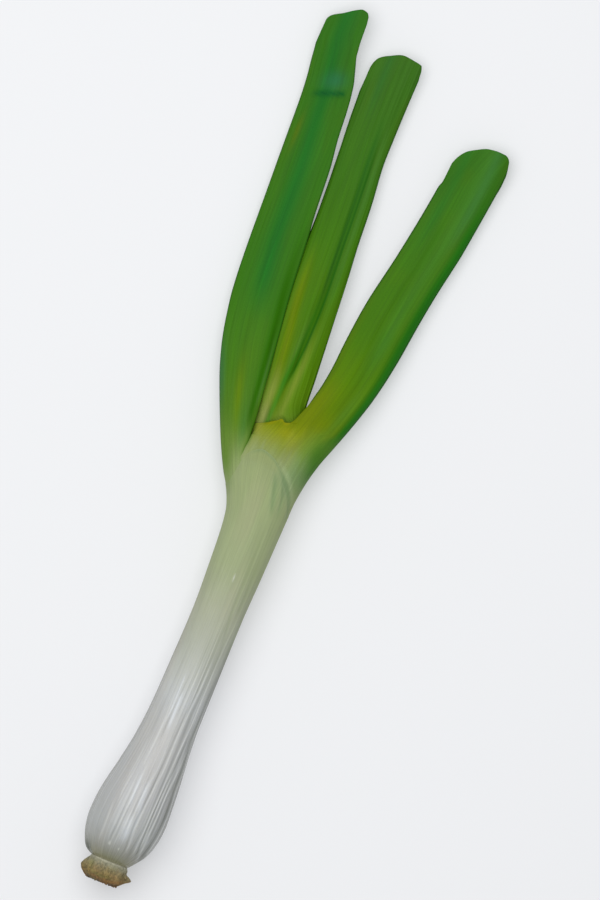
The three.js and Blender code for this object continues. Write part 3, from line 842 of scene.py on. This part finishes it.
def folded_section(leaf, only_right):
    """The section of a folded leaf; only_right keeps the right one off the left leaf's skin."""
    def section(y, s, inner):
        x0, z0 = fold(leaf, y, s, False)
        x1, z1 = onto_skin(x0, y, z0, only_right)
        if inner:
            x2, z2 = fold(leaf, y, s, True)
            x1, z1 = x2 + x1 - x0, z2 + z1 - z0
        y1 = trimmed(leaf, x1, y)
        if only_right:
            shift = bell(x1, -4.4, 1.2) - 0.9 * bell(x1, -1.9, 1) - 0.8
            shift = shift - 0.8 * smooth(-2.5, -1, x1)
            by_rim = window(x1, -16, -12, 5, 8) * smooth(0.88, 1, s)
            y1 = y1 + shift * by_rim * window(y, 238, 243, 260, 268)
        return np.stack([x1, y1, z1], -1)

    return section


def left_relief(y, s, x):
    u = np.abs(s)
    reach = 0.16 * noise(s * 9 + 20, y / 40, 31) + 0.10 * noise(s * 22 + 50, y / 28, 32)
    from_margin = np.abs(LEFT["margin"](y) - x)
    valley = -0.9 * bell(from_margin, 4.6, 2.2) * window(y, 222, 236, 285, 345)
    ridge = 0.5 * bell(u, 0.42, 0.22) * smooth(240, 300, y)
    line = 407 + 0.3 * (x + 47)
    kink = -0.7 * bell(y, line, 1.6) * window(u, 0.1, 0.3, 0.7, 1.05)
    above = 0.5 * bell(y, line + 6, 5) * bell(u, 0.62, 0.25)
    return reach * smooth(215, 250, y) + np.where(s > 0, valley + ridge + kink + above, ridge)


def right_relief(y, s, x):
    u = np.abs(s)
    reach = 0.15 * noise(s * 8 + 20, y / 45, 41) + 0.10 * noise(s * 20 + 50, y / 30, 42)
    ridge = 0.55 * bell(u, 0.33, 0.16) * smooth(255, 300, y)
    hollow = -0.35 * bell(u, 0.62, 0.2) * smooth(262, 300, y)
    return reach * smooth(232, 262, y) + ridge + hollow


def left_colours(x, y, z, s, inside):
    keel, margin = LEFT["keel"](y), LEFT["margin"](y)
    w = np.clip((x - keel) / (margin - keel), 0, 1)
    colour = ramp(
        y,
        (210, 114, 140, 68), (230, 99, 134, 48), (244, 84, 127, 34), (264, 70, 121, 24),
        (304, 59, 118, 24), (458, 53, 112, 26),
    )
    warm = noise(w * 5 + 3, y / 16, 71)
    streak = 0.46 + 0.03 * noise(y / 30, 0 * y, 72)
    beside = bell(margin - x, 1.4, 0.5) * window(y, 246, 254, 268, 292)
    kink = 407.5 + 0.357 * (x + 46)
    across = window(w, 0.12, 0.4, 0.82, 0.92)
    edge = np.maximum(smooth(0.02, 0, w), smooth(0.985, 1, w) * smooth(250, 270, y))
    colour = coats(
        colour,
        (80, 114, 10, 0.25 * warm),
        (98, 130, 2, 0.8 * bell(w, 0.47, 0.1) * bell(y, 252, 17)),
        (60, 116, 66, 0.8 * smooth(0.2, 0, w) * bell(y, 258, 16)),
        (54, 116, 44, 0.5 * bell(w, 0.72, 0.12) * bell(y, 236, 14)),
        # dark green in the valley by the margin: partly the leaf's own colour, partly painted
        # shade
        (46, 106, 2, 0.95 * bell(w, 0.88, 0.1) * window(y, 232, 249, 300, 360)),
        (32, 110, 32, 0.95 * bell(w, streak, 0.18) * smooth(286, 316, y)),
        # painted highlight: a pale line on the margin's rounded lip beside the notch
        (104, 146, 84, 0.25 * beside),
        # painted shade in the kink's crease; above it a lighter teal band, partly the leaf's
        # colour, partly painted highlight where it bends up
        (4, 88, 30, 0.95 * bell(y, kink, 1.5) * across),
        (44, 117, 70, 0.85 * bell(y, kink + 7, 5) * bell(w, 0.6, 0.24)),
        (42, 112, 34, 0.5 * bell(w, 0.6, 0.2) * smooth(418, 436, y)),
        (96, 116, 12, 0.5 * bell(x, -51.5, 1.3) * bell(y, 385, 9)),
        # painted shade: a thin dark outline along the keel side and the margin
        (30, 88, 8, 0.7 * edge * smooth(215, 240, y)),
        (92, 146, 62, 0.35 * inside),
    )
    colour = mix(body_tone(x, y, z), colour / LEAF_LIGHT, smooth(208, 240, y)[..., None])
    away = np.abs(margin - x)
    # painted shade in the slit along the margin by the notch: a dark wedge and a darker line next
    # to it
    wedge = smooth(2.2 + 0.05 * (y - 224), 0.2, away) * window(y, 222, 227, 244, 266)
    line = smooth(1.2, 0.3, away) * window(y, 223, 226, 240, 250)
    return coats(colour, (62, 104, 8, 0.8 * wedge), (52, 98, 2, 0.7 * line))


def right_colours(x, y, z, s, inside):
    keel, margin = RIGHT["keel"](y), np.maximum(RIGHT["margin"](y), -14)
    w = np.clip((x - margin) / (keel - margin), 0, 1)
    strayed = y + 2.4 * noise(x / 1.4 + 30, y / 25, 78) * smooth(262, 246, y)
    colour = ramp(
        strayed,
        (226, 147, 159, 102), (230, 146, 158, 98), (234, 143, 156, 84), (238, 142, 153, 58),
        (242, 138, 150, 30), (246, 126, 140, 6), (251, 112, 132, 2), (262, 94, 129, 2),
        (279, 81, 126, 4), (304, 70, 120, 10), (344, 63, 118, 18), (417, 56, 114, 28),
    )
    warm = noise(w * 5 + 9, y / 12, 73)
    by_slit = smooth(-14.6, -15.8, x) * smooth(225, 232, y)
    golden = bell(y - rim_line(x), -1, 0.9) * window(x, -12, -9, -1, 3)
    band = smooth(0.76, 0.92, w) * window(y, 224, 250, 362, 402)
    edge = np.maximum(smooth(0.965, 1, w), smooth(0.03, 0, w) * smooth(252, 264, y))
    lower_line = bell(y - rim_line(x), 0, 0.5) * window(x, -13, -9, 4, 6)
    colour = coats(
        colour,
        (88, 118, 2, 0.18 * warm),
        (156, 156, 14, 0.5 * bell(x, 0, 3.4) * bell(y, 243, 3)),
        (150, 158, 60, 0.4 * bell(x, 3.4, 2) * bell(y, 240, 5)),
        (112, 126, 0, 0.7 * smooth(0.55, 0.1, w) * bell(y, 260, 17)),
        (90, 120, 0, 0.5 * smooth(0.16, 0, w) * bell(y, 292, 26)),
        (84, 132, 34, 0.7 * bell(w, 0.72, 0.12) * bell(y, 262, 18)),
        (68, 127, 38, 0.6 * bell(w, 0.62, 0.12) * smooth(274, 304, y)),
        (40, 114, 34, 0.5 * bell(w, 0.22, 0.08) * smooth(345, 375, y)),
        (64, 126, 58, 0.5 * bell(w, 0.73, 0.09) * smooth(350, 380, y)),
        (48, 108, 24, 0.5 * smooth(0.35, 0.1, w) * bell(y, 392, 14)),
        (156, 160, 64, 0.7 * bell(x, -13.8, 1.8) * bell(y, 241.5, 3.5)),
        # painted shade: darker olive by the slit under the left leaf's margin
        (84, 130, 16, 0.75 * by_slit),
        (150, 148, 8, 0.6 * golden),
        # dark green band along the keel: partly the leaf's own colour, partly painted shade where
        # it curves down
        (34, 112, 20, 0.95 * band),
        # painted shade: a thin dark outline along the keel and the margin
        (22, 70, 12, 0.7 * edge * smooth(236, 256, y)),
        (100, 150, 62, 0.35 * inside),
        (108, 142, 56, 0.8 * smooth(5, 13, x) * smooth(254, 236, y)),
        (70, 121, 32, 0.9 * smooth(11, 19, x) * smooth(256, 236, y)),
        # painted shade: a dark line along the sheath's rim where it lies over the middle leaf
        (84, 96, 0, 0.7 * lower_line),
    )
    shoulder = smooth(4, 14, x)
    share = smooth(mix(223, 222, shoulder), mix(235, 240, shoulder), strayed)
    return mix(body_tone(x, y, z), colour / LEAF_LIGHT, share[..., None])


# The middle leaf: the shank's heart, opening into a sheet with a crease.

MIDDLE = {
    "tip": 440,
    "left": profile(
        (184, -7), (196, -8.4), (208, -10.7), (224, -15.4), (236, -17.3), (244, -18.7),
        (264, -23), (290, -26), (320, -26.7), (345, -26.3), (364, -26.9), (384, -28.2),
        (404, -29.4), (424, -29.9), (440, -29.6),
    ),
    "right": profile(
        (184, 13.2), (203, 13.7), (208, 14.4), (224, 16.5), (232, 17.8), (244, 14), (252, 7.4),
        (258, 4.8), (274, 3.8), (304, 1.6), (324, 0.2), (344, -1.7), (364, -3), (390, -5.1),
        (440, -4.6),
    ),
    "crease": profile(
        (240, -10.5), (262, -9), (289, -7), (304, -6.7), (344, -8.5), (384, -10.6), (410, -12),
        (440, -13),
    ),
    "crease_depth": profile(
        (240, 1.4), (256, 2.4), (330, 2.2), (380, 1.5), (408, 0.5), (440, 0.3),
    ),
    "heart": profile(
        (184, 9.3), (196, 8.9), (208, 8), (216, 7.5), (236, 7.2), (250, 6.7), (264, 5.6),
        (290, 4),
    ),
    "crown": profile(
        (236, 22.6), (250, 20), (264, 17.8), (290, 14.6), (320, 12.3), (350, 10.6), (400, 8.6),
        (420, 8.6), (440, 9.6),
    ),
    "droop": profile((236, 5), (264, 4.6), (300, 3.6), (350, 3), (440, 2.6)),
    "centre": profile((184, 15.6), (208, 15.1), (224, 14.7), (244, 13.6), (264, 11.8), (290, 9.6)),
    "cut": profile(
        (-30, 424), (-29.3, 430), (-27.4, 434), (-23, 437), (-15.4, 440), (-10, 439.4),
        (-6, 438.6), (-4.9, 436), (-4.5, 430),
    ),
}
CREASE_WIDTH = 2.4
gold_ridge = profile(
    (246, -13), (254, -14), (266, -14.8), (274, -15.6), (284, -16.6), (294, -17.9), (302, -19.2),
    (314, -20.3), (324, -21), (339, -22),
)
pale_ridge = profile((254, -6), (262, -5.5), (270, -5), (279, -4.6), (304, -4.2))
green_furrow = profile((250, -10.8), (264, -10.1), (274, -9.7), (284, -10.2), (304, -12))


def middle_section(y, s, inner):
    """The open leaf's upper side is its outside here, so that its colours face up."""
    left, right = MIDDLE["left"](y), MIDDLE["right"](y)
    turn = (s + 1) / 2 * math.pi
    x = mix(left, right, (1 - np.cos(turn)) / 2)
    side = -1 if inner else 1
    heart = MIDDLE["centre"](y) + side * MIDDLE["heart"](y) * np.sin(turn)
    from_crease = (x - MIDDLE["crease"](y)) / CREASE_WIDTH
    dip = np.exp(-from_crease**2)
    arch = MIDDLE["droop"](y) * (1 - np.sin(turn) ** 1.2)
    half = side * (mix(MARGIN, BLADE, np.sin(turn)) + 0.6 * dip) * 0.5
    sheet = MIDDLE["crown"](y) - arch - MIDDLE["crease_depth"](y) * dip + half
    z = mix(heart, sheet, smooth(238, 288, y)) + side * 0.1
    return np.stack([x, trimmed(MIDDLE, x, y), z], -1)


def middle_relief(y, s, x):
    reach = 0.14 * noise(s * 9 + 20, y / 45, 51) + 0.10 * noise(s * 20 + 50, y / 30, 52)
    low = smooth(350, 280, y)
    raised = 0.9 * bell(x, gold_ridge(y), 2.3) * low
    raised += 0.7 * bell(x, pale_ridge(y), 1.6) * smooth(320, 275, y)
    raised -= 0.7 * bell(x, green_furrow(y), 1.5) * low
    by_collar = 0.8 * bell(x, -14.3, 1.8) * window(y, 240.5, 244, 248, 256)
    return (reach + raised) * smooth(240, 250, y) + by_collar


def middle_colours(x, y, z, s, inside):
    left, right = MIDDLE["left"](y), MIDDLE["right"](y)
    w = np.clip((x - left) / (right - left), 0, 1)
    groove = MIDDLE["crease"](y)
    colour = ramp(
        y,
        (190, 150, 160, 110), (242, 106, 135, 40), (256, 93, 134, 16), (274, 84, 129, 8),
        (304, 72, 122, 12), (344, 65, 118, 16), (384, 60, 114, 24), (444, 61, 111, 30),
    )
    warm = noise(w * 5 + 17, y / 16, 75)
    golden = bell(x, gold_ridge(y), 2.5)
    edge = np.maximum(smooth(0.025, 0, w), smooth(0.975, 1, w))
    by_rim = bell(y - rim_line(x), 0.3, 0.7) * window(x, -13, -9, 4, 6)
    colour = coats(
        colour,
        (88, 112, 10, 0.15 * warm),
        (106, 130, 0, 0.85 * golden * window(y, 256, 272, 306, 343)),
        (134, 150, 60, 0.95 * golden * smooth(278, 256, y)),
        (148, 158, 84, 0.9 * golden * smooth(256, 247, y)),
        (66, 130, 22, 0.85 * bell(x, green_furrow(y), 1.5) * smooth(284, 266, y)),
        (96, 124, 10, 0.6 * bell(x, green_furrow(y) + 2, 0.9) * smooth(272, 262, y)),
        (82, 130, 44, 0.6 * bell(x, groove - 3, 2) * bell(y, 288, 14)),
        (120, 143, 44, 0.85 * bell(x, pale_ridge(y), 1.7) * smooth(306, 266, y)),
        (44, 112, 10, 0.2 * bell(x, 1.5, 2.6) * bell(y, 254, 5)),
        # painted shade: a dark line down the crease
        (26, 92, 0, 0.9 * bell(x, groove, 0.75) * window(y, 262, 276, 372, 404)),
        (46, 124, 14, 0.6 * bell(x, groove - 1.9, 1.1) * window(y, 258, 268, 300, 318)),
        (46, 112, 36, 0.6 * bell(x, groove - 1.9, 1.3) * window(y, 300, 330, 384, 412)),
        # painted highlight: a bluish streak on the hump to the right of the crease
        (70, 123, 42, 0.5 * bell(x, groove + 2.4, 1.5) * window(y, 300, 330, 384, 412)),
        (46, 108, 42, 0.5 * bell(x, -21.5, 2.2) * smooth(399, 424, y)),
        # painted shade: a thin dark outline along both margins
        (30, 86, 6, 0.6 * edge),
        # painted shadow: a dark band where the right leaf's rim lies over the middle leaf
        (70, 98, 0, 0.6 * by_rim),
        (92, 146, 62, 0.3 * inside),
    )
    return colour / LEAF_LIGHT


# The root plate and its mat of cut roots

PLATE = (-1.6, 19)  # the plate's middle, across and up
MAT_AROUND = 400  # points in a ring of the mat
STRANDS, OUTER_STRANDS = 420, 260  # the outer ones lie on its side, the others on its cut face
mat_radius = profile(
    (0.6, 7.6), (1.2, 9), (2.2, 10.4), (3.6, 11.8), (5.4, 12.6), (7.2, 12.1), (9.4, 10.9),
    (11.2, 9.75), (12.6, 9.4),
)


def mat_reach(angle, y):
    """The mat's radius, flatter on the right but for a pointed lobe."""
    turn = angle % math.tau
    flat = 1.3 * bell(turn, math.pi, 0.6) * smooth(10.5, 8, y)
    lobe = 3.2 * bell(turn, math.pi, 0.2) * bell(y, 6.1, 1.7)
    flute = smooth(11, 5, y)
    waves = 0.25 * np.cos(5 * angle + 1) + 0.15 * np.cos(9 * angle)
    return mat_radius(y) - flat + lobe + flute * waves


def make_roots():
    around = MAT_AROUND
    angle = np.arange(around) / around * math.tau
    turn = angle / math.tau
    x0, z0 = PLATE
    rings = []
    for radius, y in ((1, 1.0), (3, 0.9), (5, 0.8), (6.6, 0.75)):
        bumps = 0.25 * noise(turn * 60, radius, 61, 60)
        rings.append((radius + 0 * angle, y + bumps))
    for y in np.linspace(0.7, 12.6, 48):
        fibres = noise(turn * 130, y / 5, 62, 130)
        fine = noise(turn * 260, y / 1.1, 63, 260)
        clumps = noise(turn * 60, y / 1.9 + 7, 64, 60)
        weight = smooth(11.4, 8, y)
        radius = mat_reach(angle, y) - 0.25 * weight
        radius += weight * (0.16 * fibres + 0.16 * fine + 0.22 * clumps)
        rings.append((radius, y + 0 * angle))
    rings += [(radius + 0 * angle, y + 0 * angle) for radius, y in ((6.6, 12.8), (3.1, 16.0))]
    radius, y = (np.array(part) for part in zip(*rings))
    x = x0 - radius * np.cos(angle)
    z = np.maximum(z0 + radius * np.sin(angle), 0)
    count = x.size
    faces = ring_faces(len(rings), around)
    faces += fan(count, 0, around, True) + fan(count + 1, count - around, around, False)
    points = np.concatenate([
        np.stack([x, y, z], -1).reshape(-1, 3), [[x0, 1.0, z0], [x0, 16.2, z0]],
    ])
    colour = root_tone(points)
    strands, strand_faces, strand_tone = root_strands(len(points))
    points = np.concatenate([points, strands])
    colour = np.concatenate([colour, strand_tone])
    faces = [f[::-1] for f in faces] + strand_faces
    add_piece("root_mat", to_row(points), faces, "root_plate", "root", ROOT, tone=colour)


def root_tone(points):
    x, y, z = points.T
    # painted shade: darker towards the cut end, along the mat's lower rim; painted highlight: the
    # pale stop at 11.4, on the crease under the skin
    colour = ramp(
        y,
        (0, 70, 50, 30), (1.0, 96, 70, 42), (2.4, 134, 106, 62), (5, 142, 120, 76),
        (7.6, 144, 132, 96), (9.2, 142, 138, 112), (10.6, 152, 150, 126), (11.4, 170, 168, 146),
        (12.4, 160, 158, 132),
    )
    blot = noise(x / 1.1 + 60, y / 0.9 + 9 + z / 2, 81)
    fade = smooth(11, 8, y)
    patch = noise(x / 3.2 + 20, y / 2.6 + 30 + z / 4, 82)
    return coats(
        colour,
        (98, 88, 46, 0.55 * blot * fade),
        (172, 142, 88, -0.45 * blot * fade),
        (118, 122, 60, 0.5 * patch * fade),
        (168, 120, 52, -0.5 * patch * smooth(7, 3, y)),
    )


def root_strands(first):
    """Single roots along the mat, from the plate to the cut, and their stubs over its face."""
    draw = np.random.default_rng(7)
    sides, steps = 5, 7
    points, faces, tones = [], [], []
    x0, z0 = PLATE
    share = np.linspace(0, 1, steps)
    spin = np.arange(sides)[:, None] / sides * math.tau
    for n in range(STRANDS):
        outer = n < OUTER_STRANDS
        turn = draw.uniform(0, math.tau)
        thick = draw.uniform(0.14, 0.3)
        if outer:
            start = draw.uniform(4.5, 10)
            end = max(0.8, start - draw.uniform(2, 6))
            y = np.linspace(start, end, steps)
            radius = mat_reach(turn, y) - 0.3 + draw.uniform(-0.2, 0.14)
            drift = draw.uniform(-0.3, 0.3) * share**2
            radius = radius + draw.uniform(-0.3, 0.4) * share**3
        else:
            place = math.sqrt(draw.uniform(0, 1))
            thick += 0.16
            y = np.linspace(3.2, draw.uniform(0.15, 0.8), steps)
            radius = place * (8 + 0.5 * share)
            drift = draw.uniform(-0.1, 0.1) * share
        path = np.stack([x0 - radius * np.cos(turn + drift), y,
                         z0 + radius * np.sin(turn + drift)], -1)
        along = unit(np.gradient(path, axis=0))
        one = unit(np.cross(along, [0.3, 0.2, 0.93]))
        two = np.cross(along, one)
        swell = thick * (1 + 0.15 * np.sin(np.linspace(0, 9, steps) + n))
        round_it = one[:, None] * np.cos(spin) + two[:, None] * np.sin(spin)
        rings = path[:, None] + swell[:, None, None] * round_it
        base = first + len(points)
        tip = path[-1] + along[-1] * 0.12
        points += rings.reshape(-1, 3).tolist() + [path[0].tolist(), tip.tolist()]
        faces += [tuple(base + i for i in f) for f in ring_faces(steps, sides)]
        faces += fan(base + steps * sides, base, sides, True)
        faces += fan(base + steps * sides + 1, base + (steps - 1) * sides, sides, False)
        shade = draw.uniform(0.8, 1.2)
        own = root_tone(rings.reshape(-1, 3)) * shade
        tones += own.tolist() + [own[0].tolist(), (own[-1] * (0.7 if outer else 1.3)).tolist()]
    points = np.array(points)
    points[:, 2] = np.maximum(points[:, 2], 0)
    return points, faces, np.array(tones)


make_shank()
make_leaf("leaf_left", folded_section(LEFT, False), left_relief, left_colours,
          along_rows(LEFT["tip"], (LEAF_FOOT, 1.6), (204, 0.9), (262, 1.5)))
make_leaf("leaf_right", folded_section(RIGHT, True), right_relief, right_colours,
          along_rows(RIGHT["tip"], (LEAF_FOOT, 1.6), (200, 0.9), (243.4, 0.3), (246.9, 0.15),
                     (249.55, 0.3), (252.1, 0.9), (272, 1.5)))
make_leaf("leaf_middle", middle_section, middle_relief, middle_colours,
          along_rows(MIDDLE["tip"], (LEAF_FOOT, 1.6), (232, 0.9), (290, 1.5)))
make_roots()


# The studio: a pale floor, a soft key light from the upper left and pale surroundings

FLOOR_REACH, FLOOR_LEVEL = 8, -0.0002
corners = ((-1, -1), (1, -1), (1, 1), (-1, 1))
floor_mesh = bpy.data.meshes.new("floor")
floor_mesh.from_pydata(
    [(FLOOR_REACH * x, FLOOR_REACH * y, FLOOR_LEVEL) for x, y in corners], [], [(0, 1, 2, 3)]
)
floor_material, floor_tree, floor_shader = new_material("floor")
# The floor gives off a part of its light, so that the shadows on it stay pale.
set_inputs(floor_tree, floor_shader, {
    "Base Color": (0.50, 0.503, 0.51, 1),
    "Emission Color": (0.333, 0.338, 0.347, 1),
    "Emission Strength": 1.0,
    "Roughness": 0.9,
    "Specular IOR Level": 0.1,
})
floor_mesh.materials.append(floor_material)
add_object("floor", floor_mesh)


def add_light(name, place, width, power):
    data = bpy.data.lights.new(name, "AREA")
    data.shape = "DISK"
    data.size = width
    data.energy = power
    light = add_object(name, data)
    light.location = place
    light.rotation_euler = (-Vector(place)).to_track_quat("-Z", "Y").to_euler()


add_light("key", (-0.3, 0.2, 1.6), 2.0, 27)
world = bpy.data.worlds.new("studio")
world.use_nodes = True
background = world.node_tree.nodes["Background"]
set_inputs(world.node_tree, background, {"Color": (0.97, 0.98, 1.0, 1), "Strength": 0.38})
bpy.context.scene.world = world
bpy.context.scene.view_settings.view_transform = "Standard"
